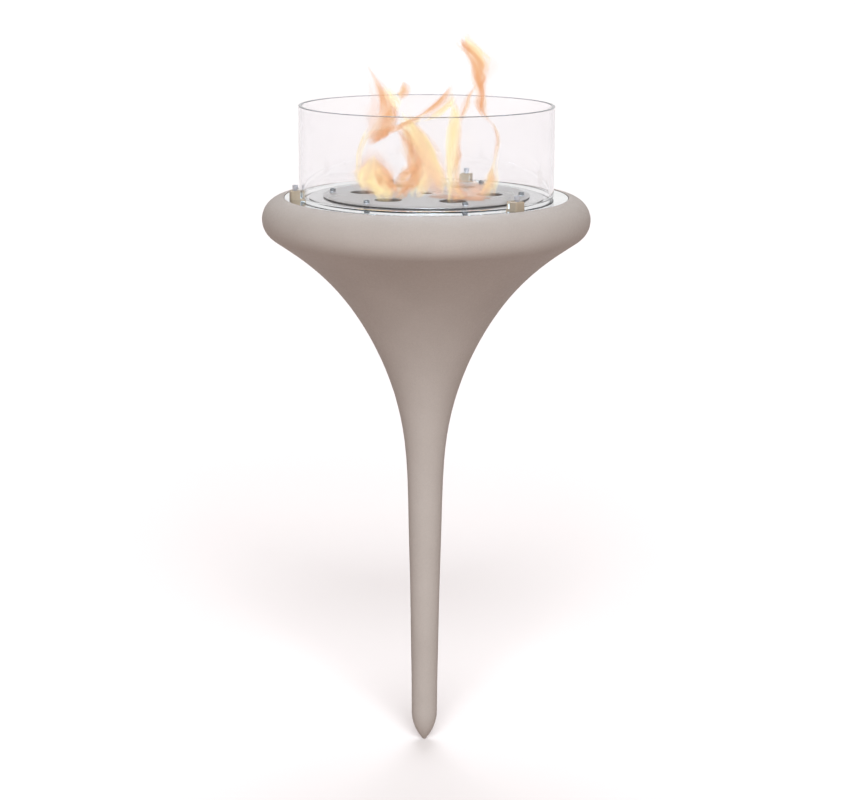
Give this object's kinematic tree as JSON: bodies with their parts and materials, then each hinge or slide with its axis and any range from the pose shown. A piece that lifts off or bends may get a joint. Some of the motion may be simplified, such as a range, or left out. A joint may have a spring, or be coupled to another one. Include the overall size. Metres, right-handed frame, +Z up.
{
  "type": "garden torch",
  "caption": "Trumpet-shaped garden torch on a ground spike, with a liquid-fuel burner in its mouth and a clear wind guard held by clamps.",
  "frame": {"origin": "the point of the ground spike, on the torch's axis", "axes": "+Z up the torch's axis; -Y is the side seen in front"},
  "size_m": [0.4908, 0.4906, 1],
  "materials": {
    "body_shell": "fine matte texture, warm grey",
    "galvanised_steel": "dull galvanised",
    "insert_brass": "turned",
    "silicone": "matte",
    "clear_silicone": "translucent, soft",
    "polished_steel": "mirror-polished stainless steel",
    "well_steel": "plain sheet",
    "mineral_fibre": "fibrous, matte",
    "clamp_metal": "champagne satin anodised",
    "screw_steel": "satin",
    "clear_glass": "clear, polished edges",
    "pan_steel": "satin",
    "neck_steel": "heat-tinted satin",
    "ceramic_fibre": "fibrous, scorched on top",
    "brushed_plate": "fine brushed",
    "dark_fixings": "black oxide"
  },
  "bodies": {
    "torch": {"torch_body": "body_shell", "spine_tube": "galvanised_steel", "spine_point": "galvanised_steel", "spine_anchors": "galvanised_steel", "spine_collar": "galvanised_steel", "threaded_inserts": "insert_brass", "deck_gasket": "silicone", "deck_ring": "polished_steel", "burner_well": "well_steel", "insulation_ring": "mineral_fibre", "clamp_back": "clamp_metal", "clamp_left": "clamp_metal", "clamp_front": "clamp_metal", "clamp_liners": "clear_silicone"},
    "burner": {"fuel_tank": "pan_steel", "tank_seal": "silicone", "tank_lid": "pan_steel", "burner_necks": "neck_steel", "filler_neck": "neck_steel", "fuel_bed": "ceramic_fibre", "wick_pads": "ceramic_fibre", "burner_plate": "brushed_plate", "plate_spacers": "dark_fixings", "plate_washers": "screw_steel", "plate_screws": "dark_fixings", "plate_nuts": "screw_steel"},
    "glass": {"glass_guard": "clear_glass"},
    "screw_back": {"clamp_screw_back": "screw_steel"},
    "screw_left": {"clamp_screw_left": "screw_steel"},
    "screw_front": {"clamp_screw_front": "screw_steel"}
  },
  "joints": [
    {"name": "burner_lift", "type": "slide", "parent": "torch", "child": "burner", "axis": [0, 0, 1], "range_m": [0, 0.16]},
    {"name": "glass_lift", "type": "slide", "parent": "torch", "child": "glass", "axis": [0, 0, 1], "range_m": [0, 0.16]},
    {"name": "clamp_screw_back_turn", "type": "hinge", "parent": "torch", "child": "screw_back", "pos_m": [0.06414, 0.18627, 0.88], "axis": [0, 0, 1], "continuous": true},
    {"name": "clamp_screw_left_turn", "type": "hinge", "parent": "torch", "child": "screw_left", "pos_m": [-0.19338, -0.03759, 0.88], "axis": [0, 0, 1], "continuous": true},
    {"name": "clamp_screw_front_turn", "type": "hinge", "parent": "torch", "child": "screw_front", "pos_m": [0.12924, -0.14868, 0.88], "axis": [0, 0, 1], "continuous": true}
  ]
}
